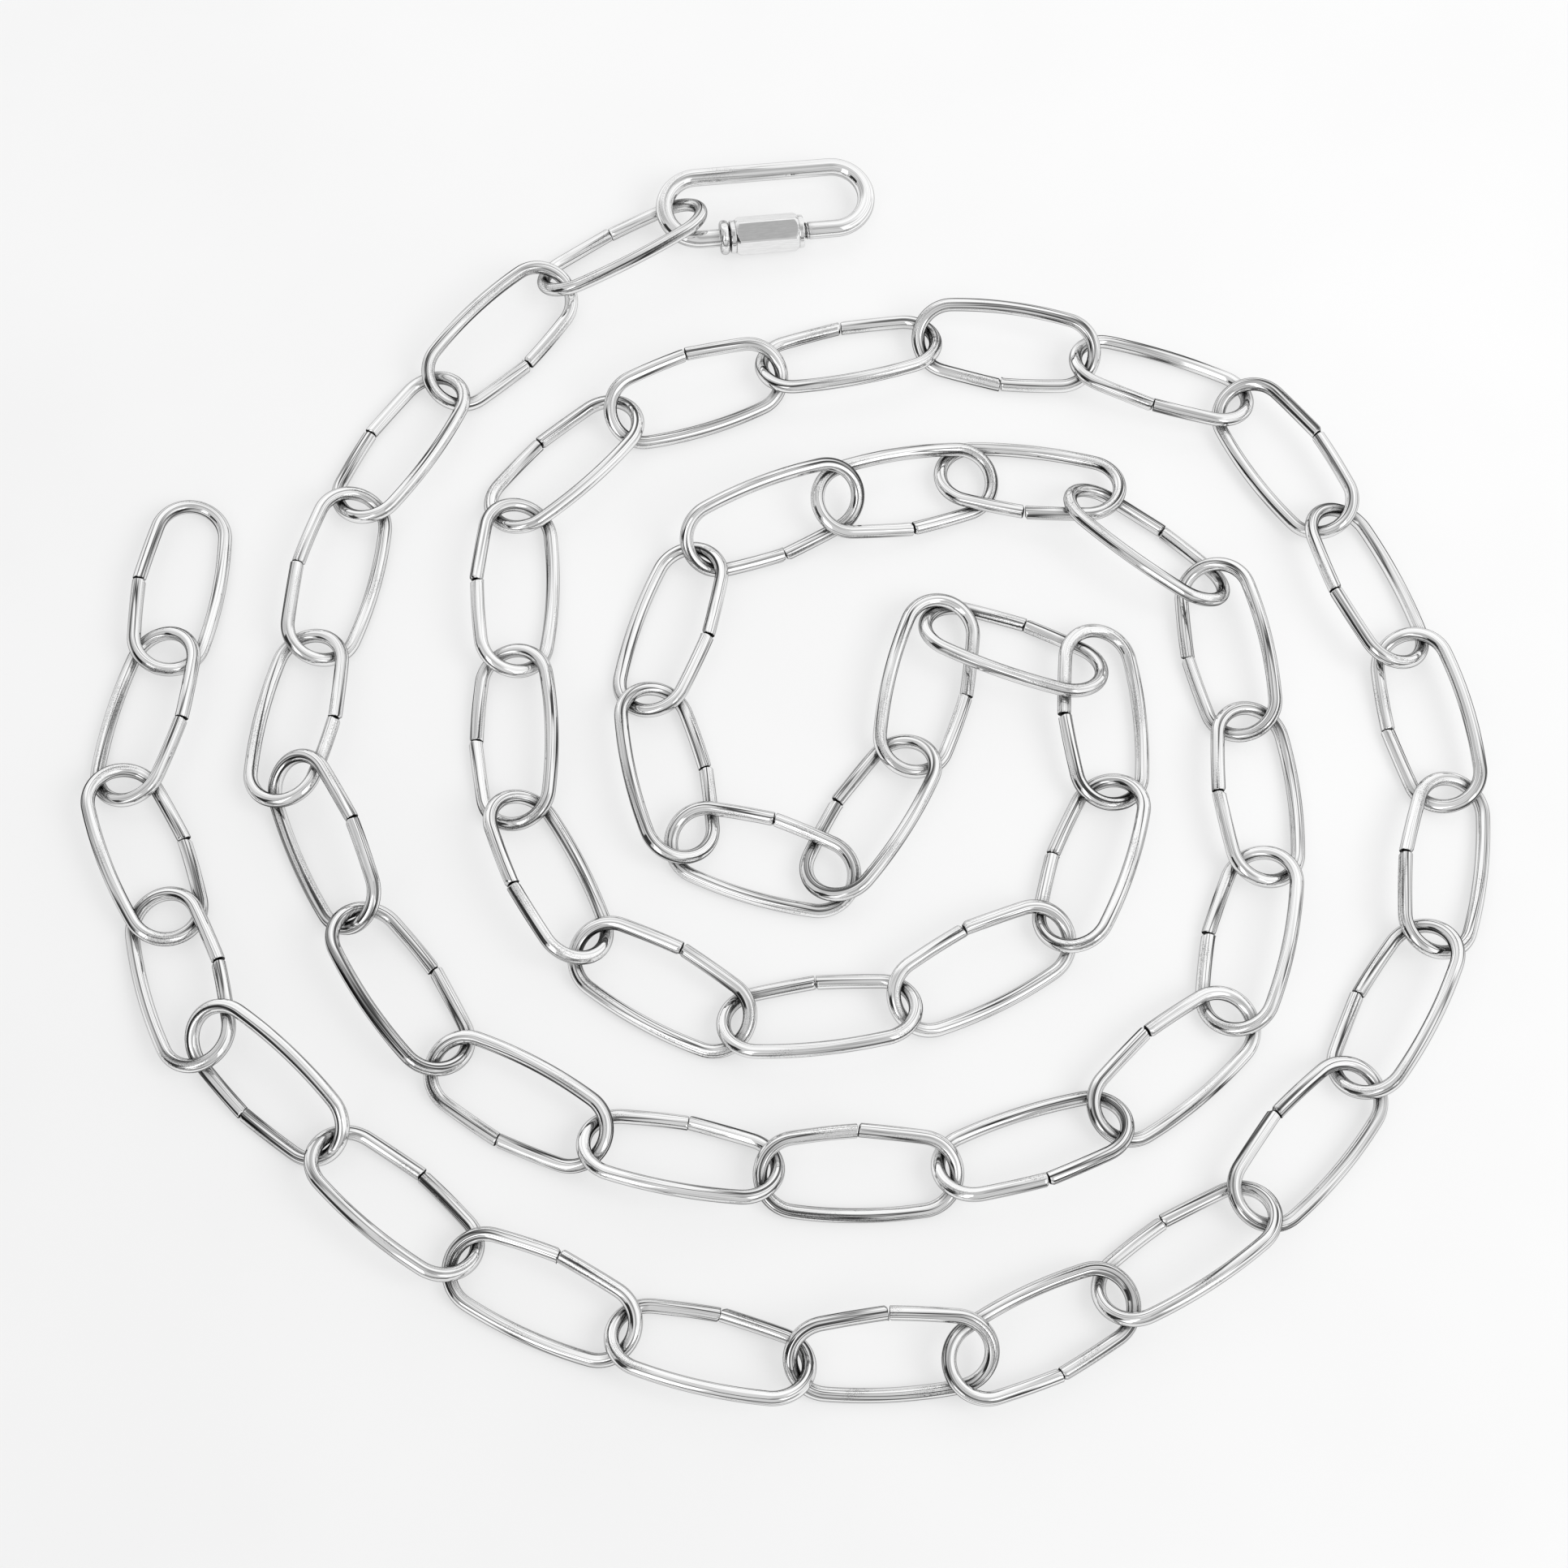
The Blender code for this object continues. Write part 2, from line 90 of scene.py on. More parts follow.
EAR_HEIGHTS = (0.04, 0.26)
EAR_WIDTH = 0.3
EAR_LENGTH = 0.16 * MM
RAW_LENGTH = 0.05 * MM
INNER_SIDE = math.pi

# How the two ends at a seam miss each other: how far from it that reaches, and the ranges of a wedge's slope
# and, in millimetres, of the opening and of the offsets sideways and up
SEAM_REACH = 9 * MM
SEAM_WEDGES = (-0.05, 0.05)
SEAM_OPENINGS = (-0.13, 0.02)
SEAM_OFFSETS = (-0.13, 0.13)

# Step from one straightened link to the next, which gives each link lines of its own
STRAIGHT_STEP = np.array((LINK_LENGTH * 3, 7.3 * MM, 4.7 * MM))

# Nut of the quick link, as in the frame. It sits NUT_SHIFT from the middle of its leg, towards the collar.
NUT_FLATS = 8.0 * MM
NUT_LENGTH = 17.2 * MM
NUT_TURNED = 1.3 * MM
NUT_TURNED_WIDTH = 7.7 * MM
NUT_CLEARANCE = 0.3 * MM
NUT_SHIFT = 0.7 * MM
NUT_CHAMFER = 0.9 * MM
NUT_CONE_STEP = 0.05 * MM
NUT_EDGE = 0.12 * MM
NUT_BORE_EDGE = 0.25 * MM
NUT_SKIN_SIDES = 144
NUT_CHAMFER_STEPS = 8
NUT_FLAT_STEPS = 6
NUT_CORNER_SHARE = 1.08
HEX_TURN = math.pi / 3
# Outline of a turned end in millimetres: from its end inwards, and from its shoulder outwards, each with how
# deep it lies under the turned surface
TURNED_END = ((0.0, 0.3), (0.1, 0.1), (0.3, 0.0))
TURNED_FOOT = ((0.3, 0.0), (0.12, 0.08), (0.0, 0.1))

# Quick link, as in the frame
QUICK_WIRE = 4.0 * MM
QUICK_LENGTH = 51.4 * MM
QUICK_WIDTH = 20.0 * MM
COLLAR_WIDTH = 8.0 * MM
COLLAR_LENGTH = 2.0 * MM
COLLAR_RIM = 0.75 * MM
COLLAR_FILLET = 0.3 * MM
FILLET_RUN_OUT = 0.3 * MM
STUB_LENGTH = 3.3 * MM
STUB_EDGE = 0.25 * MM
STUB_FOOT = 0.1 * MM
WIRE_GAP = 6.0 * MM
THREAD_PITCH = 0.7 * MM
THREAD_DEPTH = 0.34 * MM
THREAD_PAST_NUT = 1.6 * MM
THREAD_LAST_EDGE = 0.3 * MM
# Thickness of the stub and of the thread's end, from the cut inwards, as shares of the wire's
STUB_SHARES = (0.15, 0.62, 0.78, 0.85)
THREAD_END_SHARES = (0.2, 0.7)

# Steps of the quick link's mesh: round the wire, round a bend, and along its parts
QUICK_SIDES = 48
QUICK_BEND_STEPS = 44
COLLAR_STEPS = 16
FILLET_STEPS = 5
COLLAR_LEG_STEPS = 3
FAR_LEG_STEPS = 23
THREAD_LEG_STEPS = 5
THREAD_STEPS = 10

# The distance of the quick link's legs from its middle, and places along its threaded leg, measured from the
# leg's middle towards the collar
QUICK_LEG = (QUICK_WIDTH - QUICK_WIRE) / 2
BEND_START = (QUICK_LENGTH - QUICK_WIRE) / 2 - QUICK_LEG
COLLAR_START = NUT_SHIFT + NUT_LENGTH / 2 + NUT_CLEARANCE
STUB_END = COLLAR_START - STUB_LENGTH
THREAD_START = NUT_SHIFT - NUT_LENGTH / 2 - THREAD_PAST_NUT
THREAD_END = STUB_END - WIRE_GAP

# How dark the stub with the collar's face is, raw at the stub's cut and painted shade in the gap under the
# nut, and how much shade is painted into the bottoms of the thread and of the nut's end grooves
STUB_DULL_AND_SHADE = 0.3
THREAD_PAINTED_SHADE = 0.3
NUT_GROOVE_PAINTED_SHADE = 0.7

# Angles in degrees over which an edge stays sharp
LINK_SHARP = 40
QUICK_SHARP = 50
NUT_SHARP = 18

# Noises of the wire's surface: how dense they are along the straightened wire and in both directions across
FLATS = (12, 650, 650)
BOLD_LINES = (16, 900, 900)
FINE_LINES = (18, 1900, 1900)
HAIRS = (55, 4500, 4500)
PATCHES = (80, 320, 320)
PITS = (4500, 6500, 6500)

# Their heights in millimetres
FLATS_HEIGHT = 0.22
BOLD_HEIGHT = 0.05
FINE_HEIGHT = 0.04
HAIRS_HEIGHT = 0.008
PITS_HEIGHT = 0.012

# Scored lines: how wide a band of the noise they take, and how much darker they are
BOLD_SCORES = (0.06, 0.85)
FINE_SCORES = (0.05, 0.36)

# Ramps: the source's values where a ramp starts and ends, and what the ramp gives there
# The first ramp turns how open a point is into painted shade in creases
CREASE_SHADE_RAMP = (0.25, 0.8, 0.75, 0.0)
PATCHES_RAMP = (0.54, 0.68, 0.0, 1.0)
SCORED_RAMP = (0.4, 0.56, 0.15, 1.0)
DARK_HAIRS_RAMP = (0.34, 0.46, 0.12, 0.0)
DARK_PITS_RAMP = (0.52, 0.62, 0.0, 0.4)
NUT_TONE_RAMP = (0.3, 0.7, 0.8, 0.88)
TABLE_TONE_RAMP = (0.2, 0.8, 0.27, 0.29)
# How much the table glows, as painted light
TABLE_PAINTED_GLOW_RAMP = (-0.32, 0.32, 0.565, 0.625)

# Tones and roughness of the steels. The edge tint is the colour that a metal has where it is seen at a slant.
WIRE_TONE = 0.95
DARKEST_TONE = 0.06
# Darkening where steel is raw or dirty and where shade is painted into creases, grooves and the bore
WIRE_DULL_AND_SHADE_TONE = -0.85
NUT_DULL_AND_SHADE_TONE = -0.7
PATCH_ROUGHNESS = 0.08
HAIR_ROUGHNESS = 0.08
WIRE_DULL_ROUGHNESS = 0.3
CLOUD_ROUGHNESS = 0.16
NUT_DULL_ROUGHNESS = 0.4
CHAIN_EDGE_TINT = 0.3
QUICK_EDGE_TINT = 0.55
NUT_EDGE_TINT = 0.9
CHAIN_LINES = 1.0
QUICK_LINES = 0.6
# Painted shade in creases: rays that meet other steel or the table within this reach darken the colour
CREASE_SHADE_SAMPLES = 2
CREASE_SHADE_REACH = 2.6 * MM

# Satin grain and clouds of the nut: how dense they are, their detail and their heights in millimetres
NUT_GRAIN = (400, 3000, 3000)
NUT_GRAIN_DETAIL = 3.0
NUT_GRAIN_HEIGHT = 0.001
NUT_CLOUDS = 260.0
NUT_CLOUDS_DETAIL = 2.0
NUT_CLOUDS_HEIGHT = 0.003

# The white table, which glows a little more towards the far right; the glow is painted light
TABLE_REACH = 12.0
TABLE_NOISE = 14.0
TABLE_NOISE_DETAIL = 3.0
TABLE_ROUGHNESS = 0.35
TABLE_SPECULAR = 0.3

# The camera of the photograph
PICTURE_SIZE = 1932
LENS_PIXELS = 3650
SENSOR = 36.0
CAMERA_PLACE = Vector((-0.00087, -0.24621, 0.60019))
CAMERA_LEAN = math.radians(21.5)
CAMERA_REACH = 20

# The soft panel on the right
KEY_SIZE = 0.9
KEY_POWER = 12.5
KEY_AZIMUTH = math.radians(-25)
KEY_ELEVATION = math.radians(47)
KEY_DISTANCE = 1.6

# The tent round the chain: each part's middle azimuth and half width, its lowest and highest elevation, how
# soft its edges are, all in degrees, and how many times it multiplies the light. Azimuth 0 is +X, 90 is +Y.
TENT_LIGHT = 0.67
TENT_PARTS = (
    ("right_and_far_wall", 50, 95, -10, 72, 24, 1.57),
    ("left_far_corner", 158, 22, 40, 66, 10, 0.8),
    ("dark_opening", 203, 14, 3, 40, 4, 0.06),
    ("front_left_lamp", 237, 11, 18, 64, 4, 2.5),
    ("front_right_lamp", 310, 9, 28, 58, 4, 2.3),
    ("camera_stand", 330, 45, 63, 84, 8, 0.7),
    ("front_horizon", 255, 75, -20, 14, 8, 0.55),
    ("near_horizon", 285, 100, -20, 17, 7, 0.65),
)


def unit(vector):
    """The vector's direction, with length 1."""
    return vector / np.linalg.norm(vector)


def main_axes(points):
    """Middle of the points and their directions from the longest to the shortest, as columns."""
    middle = points.mean(axis=0)
    _, _, rows = np.linalg.svd(points - middle, full_matrices=False)
    return middle, rows.T


def node_points(name):
    """The node's corners in the frame, each place once."""
    points = np.array([vertex.co for vertex in frame["nodes"][name].data.vertices])
    _, first = np.unique(np.round(points, SAME_PLACE_DIGITS), axis=0, return_index=True)
    return points[first]


def placing(along, across, normal, middle):
    """The matrix that takes a piece's own X, Y, Z and zero point to these directions and this place."""
    matrix = Matrix.Identity(4)
    for column, values in enumerate((along, across, normal, middle)):
        for row in range(3):
            matrix[row][column] = values[row]
    return matrix


def link_place(name):
    """Place of a link: its own X, Y and Z and its middle, read from its node's corners.

    The crowns lie on the link's long axis, and the middle of all its corners lies nearer to the seam.
    """
    points = node_points(name)
    middle, axes = main_axes(points)
    local = (points - middle) @ axes
    normal = axes[:, 2] * np.sign(axes[2, 2])
    crowns = np.abs(local[:, 0]) > np.abs(local[:, 0]).max() - CROWN_DEPTH
    off = local[crowns, 1].mean()
    middle = middle + off * axes[:, 1]
    across = axes[:, 1] * -np.sign(off)
    return placing(np.cross(across, normal), across, normal, middle)


def nut_middle():
    """Middle of the nut, on the line of its leg."""
    return node_points("quick_link_nut").mean(axis=0)


def nut_leg_way():
    """Direction of the nut's leg, towards the collar."""
    return -np.array(frame["joints"][0]["axis"])


def quick_place():
    """Place of the quick link: X along the nut's leg, towards the collar, and that leg on the +Y side."""
    middle, axes = main_axes(node_points("quick_link_body"))
    along = nut_leg_way()
    normal = unit(axes[:, 2] - axes[:, 2] @ along * along)
    if np.cross(normal, along) @ (nut_middle() - middle) < 0:
        normal = -normal
    across = np.cross(normal, along)
    return placing(along, across, normal, nut_middle() - QUICK_LEG * across - NUT_SHIFT * along)


def nut_place():
    """Place of the nut: X along its bore, and the flat nearest to level facing +Z."""
    along = nut_leg_way()
    across = unit(np.cross((0, 0, 1), along))
    up = np.cross(along, across)
    off = node_points("quick_link_nut") - nut_middle()
    side = off @ across
    height = off @ up
    corners = np.hypot(side, height) > NUT_FLATS / 2 * NUT_CORNER_SHARE
    turns = np.arctan2(side[corners], height[corners])
    # The corners are a sixth of a turn apart, so six times their angles is one and the same direction.
    corner = np.angle(np.exp(6j * turns).mean()) / 6
    lean = (corner + HEX_TURN) % HEX_TURN - HEX_TURN / 2
    top = math.cos(lean) * up + math.sin(lean) * across
    return placing(along, np.cross(top, along), top, nut_middle())


def arc(centre, radius, start, end, steps):
    """Points on an arc in the XY plane, from one angle to the other."""
    angles = np.linspace(start, end, steps + 1)
    return np.column_stack((centre[0] + radius * np.cos(angles), centre[1] + radius * np.sin(angles)))


def link_path():
    """Middle line of a link's wire, from the +X side of its seam, round by the plain side, to the -X side."""
    half_length = (LINK_LENGTH - LINK_WIRE) / 2
    half_width = (LINK_WIDTH - LINK_WIRE) / 2
    end_x = half_length - LINK_END_RADIUS
    bulge = half_width - LINK_END_RADIUS
    side_radius = (end_x ** 2 + half_width ** 2 - LINK_END_RADIUS ** 2) / (2 * bulge)
    spread = math.asin(end_x / (side_radius - LINK_END_RADIUS))
    upright = math.pi / 2
    right_end = arc((end_x, 0), LINK_END_RADIUS, upright - spread, spread - upright, END_STEPS)
    plain_middle = (0, side_radius - half_width)
    plain_side = arc(plain_middle, side_radius, spread - upright, -spread - upright, PLAIN_SIDE_STEPS)
    corner_x, corner_y = right_end[0]
    half_radius = (corner_x - SEAM_GAP / 2) / (math.sin(spread) - math.sin(SEAM_KINK / 2))
    middle = (corner_x - half_radius * math.sin(spread), corner_y - half_radius * math.cos(spread))
    seam_half = arc(middle, half_radius, upright - SEAM_KINK / 2, upright - spread, SEAM_SIDE_STEPS)
    right = np.vstack((seam_half[:-1], right_end))
    left = right[::-1] * np.array((-1, 1))
    return np.vstack((right[:-1], plain_side, left[1:]))


def with_cut_ends(line):
    """The line with close rings towards both ends, and each ring's distance from the nearer cut."""
    distance = np.minimum(np.linalg.norm(line - line[0], axis=1), np.linalg.norm(line - line[-1], axis=1))
    keep = distance > CUT_ZONE
    start = line[0] + CUT_RINGS[::-1, None] * unit(line[1] - line[0])
    end = line[-1] + CUT_RINGS[:, None] * unit(line[-2] - line[-1])
    back = np.concatenate((CUT_RINGS[::-1], distance[keep], CUT_RINGS))
    return np.vstack((start, line[keep], end)), back


def sweep(line, wide, high):
    """Points and straightened points of rings round a line in the XY plane.

    Wide and high are half the wire's thickness in the plane and across it, for each point of each ring. Rings
    that share a place take the direction of the line there.
    """
    count, sides = wide.shape
    steps = np.diff(line, axis=0)
    lengths = np.linalg.norm(steps, axis=1)
    real = np.flatnonzero(lengths > SAME_PLACE)
    ways = steps[real] / lengths[real, None]
    places = np.searchsorted(real, np.arange(count))
    tangents = ways[np.maximum(places - 1, 0)] + ways[np.minimum(places, len(real) - 1)]
    tangents = tangents / np.linalg.norm(tangents, axis=1)[:, None]
    outward = np.column_stack((-tangents[:, 1], tangents[:, 0], np.zeros(count)))
    turns = np.arange(sides) * math.tau / sides
    wide = wide * np.cos(turns)
    high = high * np.sin(turns)
    points = np.column_stack((line, np.zeros(count)))[:, None] + wide[:, :, None] * outward[:, None]
    points[:, :, 2] += high
    travelled = np.concatenate(((0,), np.cumsum(lengths)))
    straight = np.stack((np.repeat(travelled[:, None], sides, axis=1), wide, high), axis=-1)
    return points, straight


def ring_mesh(name, rings, straight, dull_and_painted_shade, place, closed=False):
    """A smooth mesh over rings of points in the frame, capped at both ends or closed on itself.

    It is 0 on bright steel and grows to 1 where it is raw or dirty and where shade is painted into a groove,
    a gap or a bore, for each ring or for each of its points.
    """
    count, sides = rings.shape[:2]
    points = rings.reshape(-1, 3) @ np.array(place.to_3x3()).T + np.array(place.translation)
    ids = np.arange(count * sides).reshape(count, sides)
    following = np.roll(ids, -1, axis=0)
    last = count if closed else count - 1
    corners = (ids, np.roll(ids, -1, axis=1), np.roll(following, -1, axis=1), following)
    faces = np.stack(corners, axis=-1)[:last].reshape(-1, 4).tolist()
    if not closed:
        faces.append(ids[0][::-1].tolist())
        faces.append(ids[-1].tolist())
    mesh = bpy.data.meshes.new(name)
    mesh.from_pydata(points.tolist(), [], faces)
    layer = mesh.attributes.new("straight", "FLOAT_VECTOR", "POINT")
    layer.data.foreach_set("vector", straight.reshape(-1).astype(np.float32))
    layer = mesh.attributes.new("dull_and_painted_shade", "FLOAT", "POINT")
    dull_and_painted_shade = np.broadcast_to(np.reshape(dull_and_painted_shade, (count, -1)), (count, sides))
    layer.data.foreach_set("value", dull_and_painted_shade.reshape(-1).astype(np.float32))
    shape = bmesh.new()
    shape.from_mesh(mesh)
    bmesh.ops.recalc_face_normals(shape, faces=shape.faces)
    shape.to_mesh(mesh)
    shape.free()
    mesh.shade_smooth()
    return mesh


def add_piece(name, mesh, material, node, body, sharp):
    """A finished piece that stands for a node of the frame and moves with its body."""
    mesh.set_sharp_from_angle(angle=math.radians(sharp))
    mesh.materials.append(material)
    piece = bpy.data.objects.new(name, mesh)
    bpy.context.scene.collection.objects.link(piece)
    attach(piece, body)
    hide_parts(node)


def angle_between(angles, middle):
    """How far each angle is from the middle one, by the shorter way round."""
    return np.abs((angles - middle + math.pi) % math.tau - math.pi)


def cut_shares(back, dice):
    """How much of the wire's thickness is left near a cut: a nipped bevel on one side and a small ear."""
    turns = np.arange(LINK_SIDES) * math.tau / LINK_SIDES
    bevel_turn = dice.choice((0, INNER_SIDE)) + dice.uniform(*BEVEL_TURNS)
    bevel_length = dice.uniform(*BEVEL_LENGTHS) * MM
    bevel_depth = dice.uniform(*BEVEL_DEPTHS)
    ear_turn = INNER_SIDE + dice.uniform(*EAR_TURNS)
    ear_height = dice.uniform(*EAR_HEIGHTS)
    near = np.clip(1 - back / bevel_length, 0, 1)[:, None]
    facing = np.clip(np.cos(angle_between(turns, bevel_turn)), 0, 1) ** BEVEL_FALLOFF
    shares = 1 - bevel_depth * near * facing
    shares -= CUT_EDGE_DEPTH * np.clip(1 - back / CUT_EDGE_LENGTH, 0, 1)[:, None]
    ear = np.exp(-(angle_between(turns, ear_turn) / EAR_WIDTH) ** 2)
    return shares + ear_height * np.exp(-back / EAR_LENGTH)[:, None] * ear


def link_mesh(number, place, dice):
    """One link's wire, with a little of its own shape at the seam."""
    line, back = with_cut_ends(link_path())
    half = len(line) // 2
    shares = np.vstack((cut_shares(back[:half], dice), cut_shares(back[half:], dice)))
    line = np.vstack((line[:1], line, line[-1:]))
    shares = np.vstack((shares[:1] * CUT_FACE_SHARE, shares, shares[-1:] * CUT_FACE_SHARE))
    rings, straight = sweep(line, shares * LINK_WIRE / 2, shares * LINK_WIRE / 2)
    rings[0, :, 0] -= CUT_BULGE
    rings[-1, :, 0] += CUT_BULGE
    # Strongest at the cuts and nothing beyond the reach, with opposite signs on the seam's two ends
    near_seam = np.clip(1 - np.abs(rings[:, :, 0]) / SEAM_REACH, 0, 1) ** 2 * (rings[:, :, 1] > 0)
    near_seam = near_seam * np.sign(line[:, 0])[:, None]
    wedge = dice.uniform(*SEAM_WEDGES) * (rings[:, :, 1] - line[0, 1])
    rings[:, :, 0] += near_seam * (dice.uniform(*SEAM_OPENINGS) * MM + wedge)
    rings[:, :, 1] += near_seam * dice.uniform(*SEAM_OFFSETS) * MM
    rings[:, :, 2] += near_seam * dice.uniform(*SEAM_OFFSETS) * MM
    straight += number * STRAIGHT_STEP
    dull_and_painted_shade = np.concatenate(((1,), np.clip(1 - back / RAW_LENGTH, 0, 1), (1,)))
    return ring_mesh(f"chain_link_{number:02d}", rings, straight, dull_and_painted_shade, place)


def collar_leg():
    """Places along the leg and half thicknesses, from the stub's end over the collar to the bend."""
    wire = QUICK_WIRE / 2
    face, edge, side, foot = (wire * share for share in STUB_SHARES)
    inner = COLLAR_WIDTH / 2 - COLLAR_RIM
    bead = COLLAR_LENGTH / 2
    fillet = COLLAR_FILLET
    collar_end = COLLAR_START + COLLAR_LENGTH
    profile = [
        (STUB_END, face), (STUB_END, edge), (STUB_END + STUB_EDGE, side),
        (COLLAR_START - STUB_FOOT, side), (COLLAR_START, foot), (COLLAR_START, inner),
    ]
    for turn in np.linspace(0, math.pi, COLLAR_STEPS + 1)[1:-1]:
        profile.append((COLLAR_START + bead - bead * math.cos(turn), inner + COLLAR_RIM * math.sin(turn)))
    profile.append((collar_end, inner))
    for turn in np.linspace(0, math.pi / 2, FILLET_STEPS + 1):
        x = collar_end + fillet - fillet * math.cos(turn)
        profile.append((x, wire + fillet - fillet * math.sin(turn)))
    for x in np.linspace(collar_end + fillet + FILLET_RUN_OUT, BEND_START, COLLAR_LEG_STEPS + 1)[:-1]:
        profile.append((x, wire))
    return np.array(profile)


def beside(places, off):
    """A line at these places along X, at this distance beside the middle."""
    return np.column_stack((places, np.full(len(places), off)))


def quick_line():
    """Middle line and half thickness of the quick link's wire, from its stub to its threaded end."""
    wire = QUICK_WIRE / 2
    quarter = math.pi / 2
    start = collar_leg()
    near_bend = arc((BEND_START, 0), QUICK_LEG, quarter, -quarter, QUICK_BEND_STEPS)
    far_leg = np.linspace(BEND_START, -BEND_START, FAR_LEG_STEPS + 1)[1:-1]
    far_bend = arc((-BEND_START, 0), QUICK_LEG, -quarter, -3 * quarter, QUICK_BEND_STEPS)
    plain = np.linspace(-BEND_START, THREAD_START, THREAD_LEG_STEPS + 1)[1:-1]
    thread = np.arange(THREAD_START, THREAD_END - THREAD_LAST_EDGE, THREAD_PITCH / THREAD_STEPS)
    line = np.vstack((
        beside(start[:, 0], QUICK_LEG), near_bend, beside(far_leg, -QUICK_LEG), far_bend,
        beside(plain, QUICK_LEG), beside(thread, QUICK_LEG), beside((THREAD_END, THREAD_END), QUICK_LEG),
    ))
    face, edge = (wire * share for share in THREAD_END_SHARES)
    plain_wire = np.full(len(line) - len(start) - 2, wire)
    radii = np.concatenate((start[:, 1], plain_wire, (edge, face)))
    threaded = np.zeros(len(line), bool)
    threaded[-len(thread) - 2:-2] = True
    return line, radii, threaded


def quick_link_mesh(place):
    """The quick link's body: its wire with the thread's groove, the stub and the collar."""
    line, radii, threaded = quick_line()
    turns = np.arange(QUICK_SIDES) / QUICK_SIDES
    travel = line[:, 0][:, None] / THREAD_PITCH - turns
    run_in = np.clip((line[:, 0] - THREAD_START) / THREAD_PITCH, 0, 1)
    groove = np.abs((travel % 1) * 2 - 1) * (run_in * threaded)[:, None]
    radius = radii[:, None] - THREAD_DEPTH * groove
    rings, straight = sweep(line, radius, radius)
    # The stub's raw cut is dull, and shade is painted on the stub and the collar's face in the gap under the
    # nut, and into the thread's bottoms
    in_stub = (line[:, 0] > NUT_SHIFT) & (line[:, 0] < COLLAR_START + SAME_PLACE) & (line[:, 1] > 0)
    dull_and_painted_shade = STUB_DULL_AND_SHADE * in_stub[:, None] + THREAD_PAINTED_SHADE * groove
    return ring_mesh("quick_link_wire", rings, straight, dull_and_painted_shade, place)


def nut_radius(turn, x):
    """Distance of the nut's skin from its axis: a hexagon, cut by a cone at each end."""
    flat = NUT_FLATS / 2
    turned = NUT_TURNED_WIDTH / 2
    from_flat = (turn + HEX_TURN / 2) % HEX_TURN - HEX_TURN / 2
    hexagon = flat / math.cos(from_flat)
    corner = flat / math.cos(HEX_TURN / 2) - NUT_EDGE
    inward = NUT_LENGTH / 2 - NUT_TURNED - abs(x)
    cone = turned + NUT_CONE_STEP + inward / NUT_CHAMFER * (corner - turned)
    return min(hexagon, corner, cone)


def nut_mesh(place):
    """The nut: rings from one end over the turned end, the hexagon and the other turned end into the bore."""
    end = NUT_LENGTH / 2
    shoulder = end - NUT_TURNED
    turned = NUT_TURNED_WIDTH / 2
    bore = QUICK_WIRE / 2 + NUT_CLEARANCE
    turns = np.arange(NUT_SKIN_SIDES) * math.tau / NUT_SKIN_SIDES
    half = [(end, bore + NUT_BORE_EDGE)]
    half += [(end - inwards * MM, turned - depth * MM) for inwards, depth in TURNED_END]
    half += [(shoulder + outwards * MM, turned - depth * MM) for outwards, depth in TURNED_FOOT]
    chamfer = np.linspace(0, NUT_CHAMFER, NUT_CHAMFER_STEPS + 1)
    flats = np.linspace(shoulder - NUT_CHAMFER, NUT_CHAMFER - shoulder, NUT_FLAT_STEPS + 1)[1:-1]
    skin = np.concatenate((shoulder - chamfer, flats, chamfer[::-1] - shoulder))
    rings = [(x, np.full(NUT_SKIN_SIDES, radius)) for x, radius in half]
    rings += [(x, np.array([nut_radius(turn, x) for turn in turns])) for x in skin]
    rings += [(-x, np.full(NUT_SKIN_SIDES, radius)) for x, radius in reversed(half)]
    rings += [(x, np.full(NUT_SKIN_SIDES, bore)) for x in (NUT_BORE_EDGE - end, end - NUT_BORE_EDGE)]
    points = np.array([
        np.column_stack((np.full(NUT_SKIN_SIDES, x), radii * np.sin(turns), radii * np.cos(turns)))
        for x, radii in rings
    ])
    # The bore is raw steel with painted shade inside it, and shade is painted into the grooves where the
    # turned ends meet the hexagon
    dull_and_painted_shade = np.zeros(len(rings))
    dull_and_painted_shade[-2:] = 1
    dull_and_painted_shade[[len(half) - 1, -2 - len(half)]] = NUT_GROOVE_PAINTED_SHADE
    return ring_mesh("quick_link_gate_nut", points, points, dull_and_painted_shade, place, closed=True)


